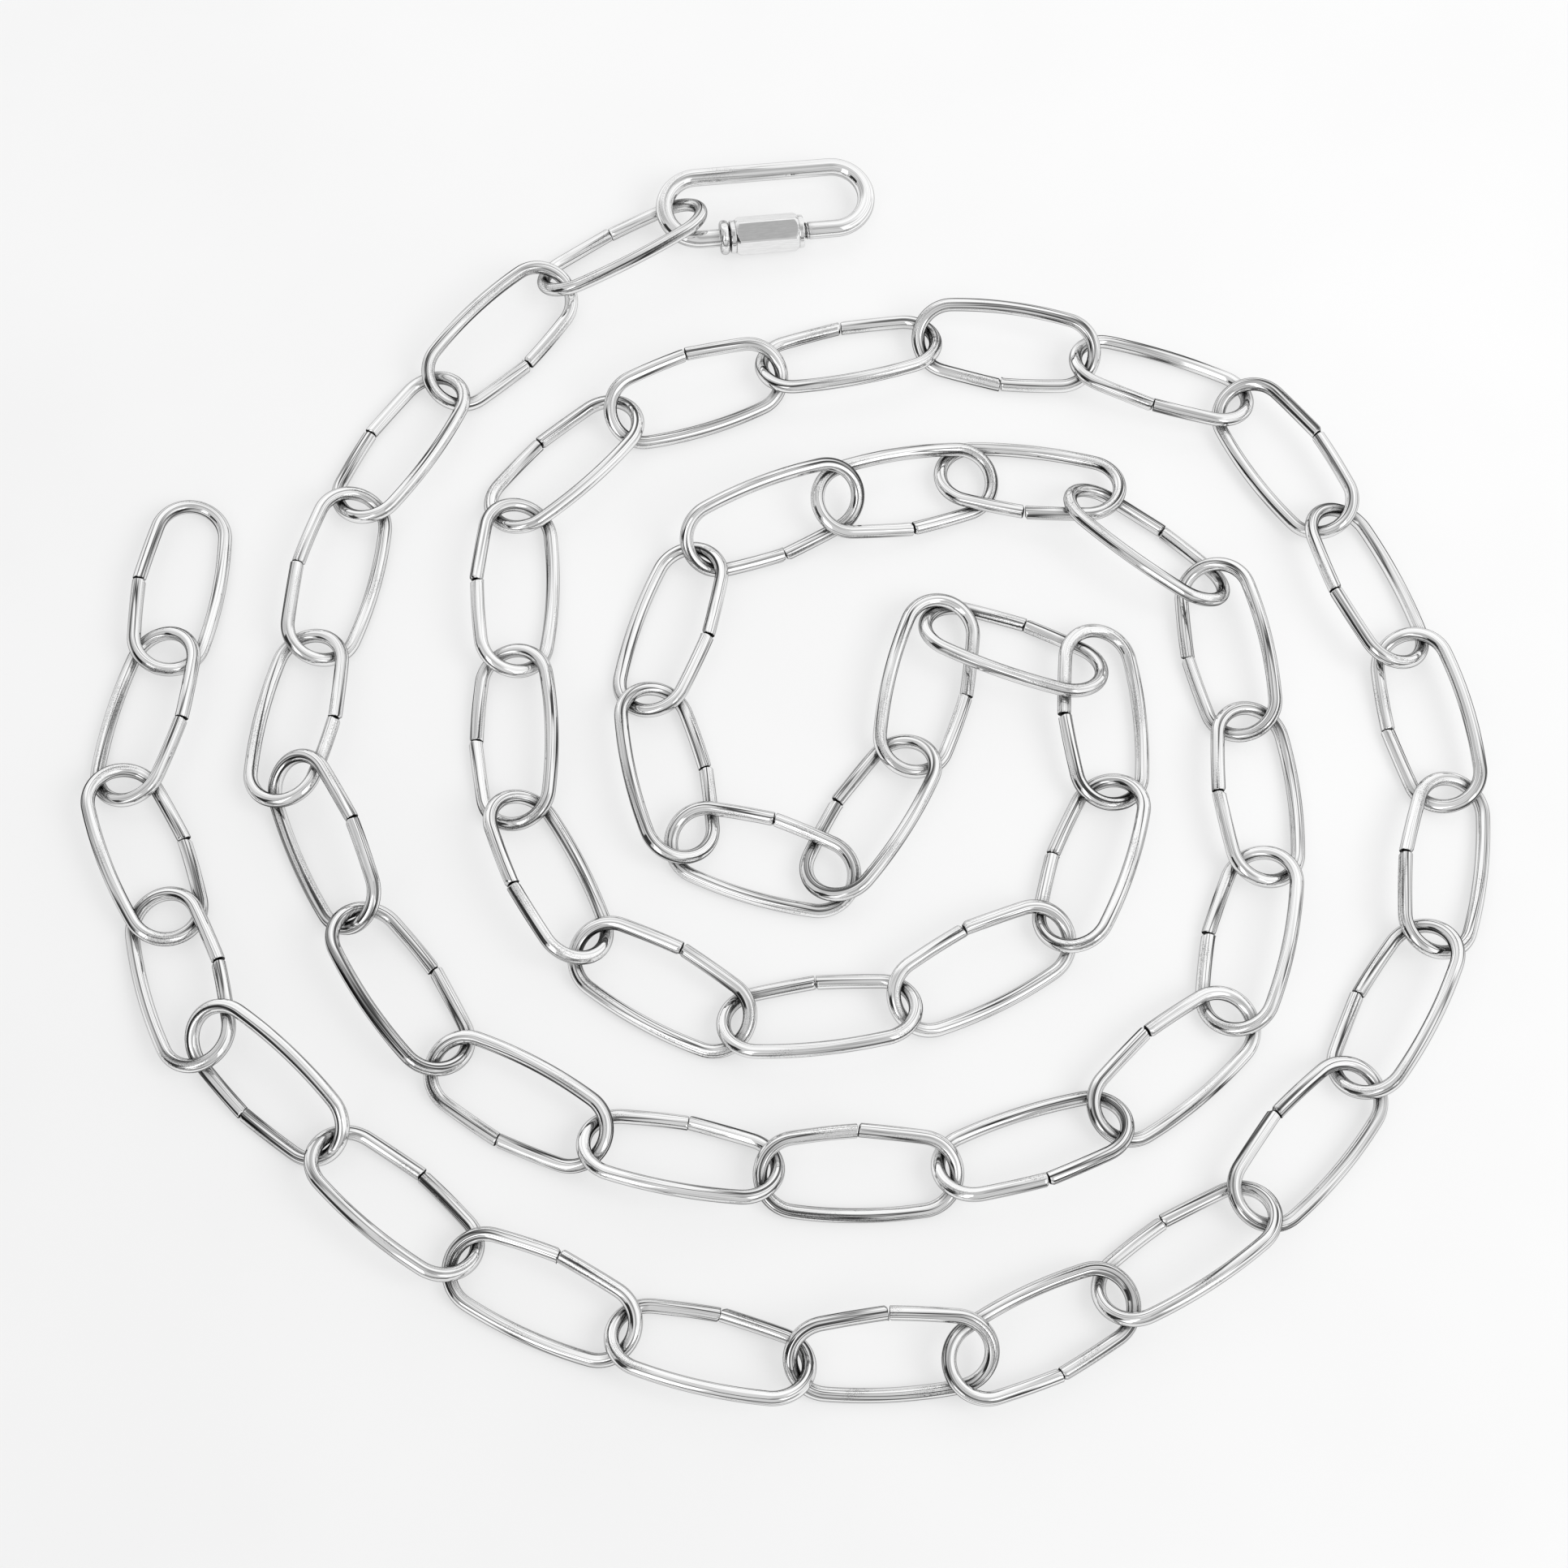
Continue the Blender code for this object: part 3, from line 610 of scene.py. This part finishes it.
class Shading:
    """Short words for building the nodes of a material or a world."""

    def __init__(self, tree):
        self.nodes = tree.nodes
        self.links = tree.links

    def node(self, kind, **settings):
        made = self.nodes.new(kind)
        for key, value in settings.items():
            setattr(made, key, value)
        return made

    def join(self, source, target):
        self.links.new(source, target)

    def stretched(self, source, scale):
        """The source's vector, multiplied by three numbers."""
        scaled = self.node("ShaderNodeVectorMath", operation="MULTIPLY")
        self.join(source, scaled.inputs[0])
        scaled.inputs[1].default_value = scale
        return scaled.outputs["Vector"]

    def noise(self, vector, scale=1.0, detail=1.0):
        made = self.node("ShaderNodeTexNoise")
        made.inputs["Scale"].default_value = scale
        made.inputs["Detail"].default_value = detail
        self.join(vector, made.inputs["Vector"])
        return made.outputs["Fac"]

    def ramp(self, source, low, high, from_value, to_value):
        """The source between low and high, spread smoothly from one value to the other."""
        made = self.node("ShaderNodeMapRange", interpolation_type="SMOOTHSTEP")
        made.inputs["From Min"].default_value = low
        made.inputs["From Max"].default_value = high
        made.inputs["To Min"].default_value = from_value
        made.inputs["To Max"].default_value = to_value
        self.join(source, made.inputs["Value"])
        return made.outputs["Result"]

    def sums(self, operation, *values):
        """One operation on sources and numbers."""
        made = self.node("ShaderNodeMath", operation=operation)
        for socket, value in zip(made.inputs, values):
            if isinstance(value, (int, float)):
                socket.default_value = value
            else:
                self.join(value, socket)
        return made.outputs["Value"]

    def weighted(self, *pairs):
        """The sum of sources, each multiplied by its weight."""
        total = 0.0
        for source, weight in pairs:
            total = self.sums("MULTIPLY_ADD", source, weight, total)
        return total

    def contour(self, source, width, depth):
        """Thin winding lines where the source crosses a half: depth on the line, 0 beyond its width."""
        off = self.sums("ABSOLUTE", self.sums("SUBTRACT", source, 0.5))
        return self.ramp(off, 0.0, width, depth, 0.0)

    def bump(self, height):
        """Normals of a surface whose height is given in millimetres."""
        made = self.node("ShaderNodeBump")
        made.inputs["Strength"].default_value = 1.0
        made.inputs["Distance"].default_value = MM
        self.join(height, made.inputs["Height"])
        return made.outputs["Normal"]


def new_material(name):
    """A material, the words for building its nodes, and its shader."""
    material = bpy.data.materials.new(name)
    material.use_nodes = True
    return material, Shading(material.node_tree), material.node_tree.nodes["Principled BSDF"]


def steel(name, edge):
    """A bright metal: its material, nodes, shader and straightened place, and how raw or dirty it is,
    together with painted shade in its creases and between touching parts.
    """
    material, made, shader = new_material(name)
    shader.inputs["Metallic"].default_value = 1.0
    shader.inputs["Specular Tint"].default_value = (edge, edge, edge, 1)
    straight = made.node("ShaderNodeAttribute", attribute_name="straight").outputs["Vector"]
    dull_and_painted_shade = made.node("ShaderNodeAttribute", attribute_name="dull_and_painted_shade").outputs["Fac"]
    # Painted shade: the colour darkens where other surfaces are near, in creases and where parts touch
    corners = made.node("ShaderNodeAmbientOcclusion", samples=CREASE_SHADE_SAMPLES)
    corners.inputs["Distance"].default_value = CREASE_SHADE_REACH
    painted_crease_shade = made.ramp(corners.outputs["AO"], *CREASE_SHADE_RAMP)
    return material, made, shader, straight, made.sums("MAXIMUM", dull_and_painted_shade, painted_crease_shade)


def wire_steel(name, strength, edge):
    """Bright drawn wire: scored lines and long shallow flats along it, small pitted patches, dull raw ends,
    and painted shade in creases, in the thread's bottoms and beside the collar.

    Strength says how strong the lines, flats and pits are, next to those of the chain's wire.
    """
    material, made, shader, straight, dull_and_painted_shade = steel(name, edge)
    flats, bold, fine, hairs, patches, pits = (
        made.noise(made.stretched(straight, scale))
        for scale in (FLATS, BOLD_LINES, FINE_LINES, HAIRS, PATCHES, PITS)
    )
    patchy = made.ramp(patches, *PATCHES_RAMP)
    height = made.weighted(
        (flats, FLATS_HEIGHT * strength), (bold, BOLD_HEIGHT * strength), (fine, FINE_HEIGHT * strength),
        (hairs, HAIRS_HEIGHT * strength), (made.sums("MULTIPLY", pits, patchy), PITS_HEIGHT),
    )
    made.join(made.bump(height), shader.inputs["Normal"])
    bold_scores = made.sums("MULTIPLY", made.contour(bold, *BOLD_SCORES), made.ramp(flats, *SCORED_RAMP))
    fine_scores = made.contour(fine, *FINE_SCORES)
    dark_hairs = made.ramp(hairs, *DARK_HAIRS_RAMP)
    dark_pits = made.sums("MULTIPLY", made.ramp(pits, *DARK_PITS_RAMP), patchy)
    # The colour is darker at raw ends and where shade is painted into creases and grooves
    tone = made.weighted(
        (bold_scores, -strength), (fine_scores, -strength), (dark_hairs, -strength), (dark_pits, -strength),
        (dull_and_painted_shade, WIRE_DULL_AND_SHADE_TONE),
    )
    tone = made.sums("MAXIMUM", made.sums("ADD", tone, WIRE_TONE), DARKEST_TONE)
    made.join(tone, shader.inputs["Base Color"])
    rough = made.weighted(
        (patchy, PATCH_ROUGHNESS), (hairs, HAIR_ROUGHNESS * strength), (dull_and_painted_shade, WIRE_DULL_ROUGHNESS),
    )
    made.join(rough, shader.inputs["Roughness"])
    return material


def nut_steel():
    """Bright flats with a faint satin grain along them, and dull, darker corners: painted shade in the
    grooves where the nut was turned, in its bore and in creases.
    """
    material, made, shader, place, dull_and_painted_shade = steel("nut_finish", NUT_EDGE_TINT)
    grain = made.noise(made.stretched(place, NUT_GRAIN), detail=NUT_GRAIN_DETAIL)
    clouds = made.noise(place, NUT_CLOUDS, NUT_CLOUDS_DETAIL)
    height = made.weighted((grain, NUT_GRAIN_HEIGHT), (clouds, NUT_CLOUDS_HEIGHT))
    made.join(made.bump(height), shader.inputs["Normal"])
    rough = made.weighted((clouds, CLOUD_ROUGHNESS), (dull_and_painted_shade, NUT_DULL_ROUGHNESS))
    made.join(rough, shader.inputs["Roughness"])
    # Darker tone where the steel is raw and where shade is painted into the grooves, the bore and creases
    tone = made.weighted((made.ramp(grain, *NUT_TONE_RAMP), 1.0), (dull_and_painted_shade, NUT_DULL_AND_SHADE_TONE))
    made.join(tone, shader.inputs["Base Color"])
    return material


def table_white():
    """Smooth white table with the faintest unevenness. It glows a little as painted light, which softens
    shadows.
    """
    material, made, shader = new_material("white_table")
    place = made.node("ShaderNodeTexCoord").outputs["Object"]
    unevenness = made.noise(place, TABLE_NOISE, TABLE_NOISE_DETAIL)
    made.join(made.ramp(unevenness, *TABLE_TONE_RAMP), shader.inputs["Base Color"])
    # Painted light: the table glows, a little more towards the far right, which softens shadows on it
    parts = made.node("ShaderNodeSeparateXYZ")
    made.join(place, parts.inputs["Vector"])
    to_far_right = made.sums("ADD", parts.outputs["X"], parts.outputs["Y"])
    made.join(made.ramp(to_far_right, *TABLE_PAINTED_GLOW_RAMP), shader.inputs["Emission Strength"])
    shader.inputs["Emission Color"].default_value = (1, 1, 1, 1)
    shader.inputs["Roughness"].default_value = TABLE_ROUGHNESS
    shader.inputs["Specular IOR Level"].default_value = TABLE_SPECULAR
    return material


def add_floor():
    """The white table as one square under the chain."""
    reach = TABLE_REACH
    corners = [(-reach, -reach, 0), (reach, -reach, 0), (reach, reach, 0), (-reach, reach, 0)]
    mesh = bpy.data.meshes.new("floor")
    mesh.from_pydata(corners, [], [(0, 1, 2, 3)])
    mesh.materials.append(table_white())
    floor = bpy.data.objects.new("floor", mesh)
    bpy.context.scene.collection.objects.link(floor)


def add_camera():
    """The photograph's camera: its lens, place and lean."""
    data = bpy.data.cameras.new("camera")
    data.sensor_width = SENSOR
    data.lens = LENS_PIXELS / PICTURE_SIZE * SENSOR
    data.clip_end = CAMERA_REACH
    camera = bpy.data.objects.new("camera", data)
    bpy.context.scene.collection.objects.link(camera)
    camera.location = CAMERA_PLACE
    camera.rotation_euler = (CAMERA_LEAN, 0, 0)
    bpy.context.scene.camera = camera


def add_key_light():
    """A big soft panel on the right, seen by the floor and by matt parts but not mirrored in the steel."""
    data = bpy.data.lights.new("key_panel", "AREA")
    data.shape = "RECTANGLE"
    data.size = KEY_SIZE
    data.size_y = KEY_SIZE
    data.energy = KEY_POWER
    panel = bpy.data.objects.new("key_panel", data)
    bpy.context.scene.collection.objects.link(panel)
    level = math.cos(KEY_ELEVATION)
    way = Vector((math.cos(KEY_AZIMUTH) * level, math.sin(KEY_AZIMUTH) * level, math.sin(KEY_ELEVATION)))
    panel.location = way * KEY_DISTANCE
    panel.rotation_euler = way.to_track_quat("Z", "Y").to_euler()
    panel.visible_glossy = False


def add_tent():
    """A pale tent of light, with lamps and a dark opening, as light that comes from each direction."""
    world = bpy.data.worlds.new("tent")
    world.use_nodes = True
    bpy.context.scene.world = world
    made = Shading(world.node_tree)
    way = made.node("ShaderNodeSeparateXYZ")
    made.join(made.node("ShaderNodeTexCoord").outputs["Generated"], way.inputs["Vector"])
    azimuth = made.sums("ARCTAN2", way.outputs["Y"], way.outputs["X"])
    elevation = made.sums("ARCSINE", way.outputs["Z"])
    light = TENT_LIGHT
    for _, *angles, times in TENT_PARTS:
        middle, half, low, high, soft = (math.radians(angle) for angle in angles)
        off = made.sums("WRAP", made.sums("SUBTRACT", azimuth, middle), math.pi, -math.pi)
        sideways = made.ramp(made.sums("ABSOLUTE", off), half - soft / 2, half + soft / 2, 1.0, 0.0)
        off = made.sums("ABSOLUTE", made.sums("SUBTRACT", elevation, (low + high) / 2))
        upwards = made.ramp(off, (high - low - soft) / 2, (high - low + soft) / 2, 1.0, 0.0)
        here = made.sums("MULTIPLY", sideways, upwards)
        light = made.sums("MULTIPLY", light, made.sums("MULTIPLY_ADD", here, times - 1, 1.0))
    made.join(light, world.node_tree.nodes["Background"].inputs["Color"])


def build_pieces():
    """Every link in turn along the chain, then the quick link's wire and its nut."""
    dice = np.random.default_rng(SEED)
    chain_wire = wire_steel("chain_wire_steel", CHAIN_LINES, CHAIN_EDGE_TINT)
    for number in range(1, LINK_COUNT + 1):
        node = f"link_{number:02d}"
        mesh = link_mesh(number, link_place(node), dice)
        add_piece(f"chain_link_{number:02d}", mesh, chain_wire, node, "chain", LINK_SHARP)
    thick_wire = wire_steel("quick_link_wire_steel", QUICK_LINES, QUICK_EDGE_TINT)
    mesh = quick_link_mesh(quick_place())
    add_piece(
        "quick_link_wire", mesh, thick_wire, "quick_link_body", "chain", QUICK_SHARP,
    )
    mesh = nut_mesh(nut_place())
    add_piece("quick_link_gate_nut", mesh, nut_steel(), "quick_link_nut", "gate_nut", NUT_SHARP)


build_pieces()
add_floor()
add_camera()
add_tent()
add_key_light()
bpy.context.scene.view_settings.view_transform = "Standard"
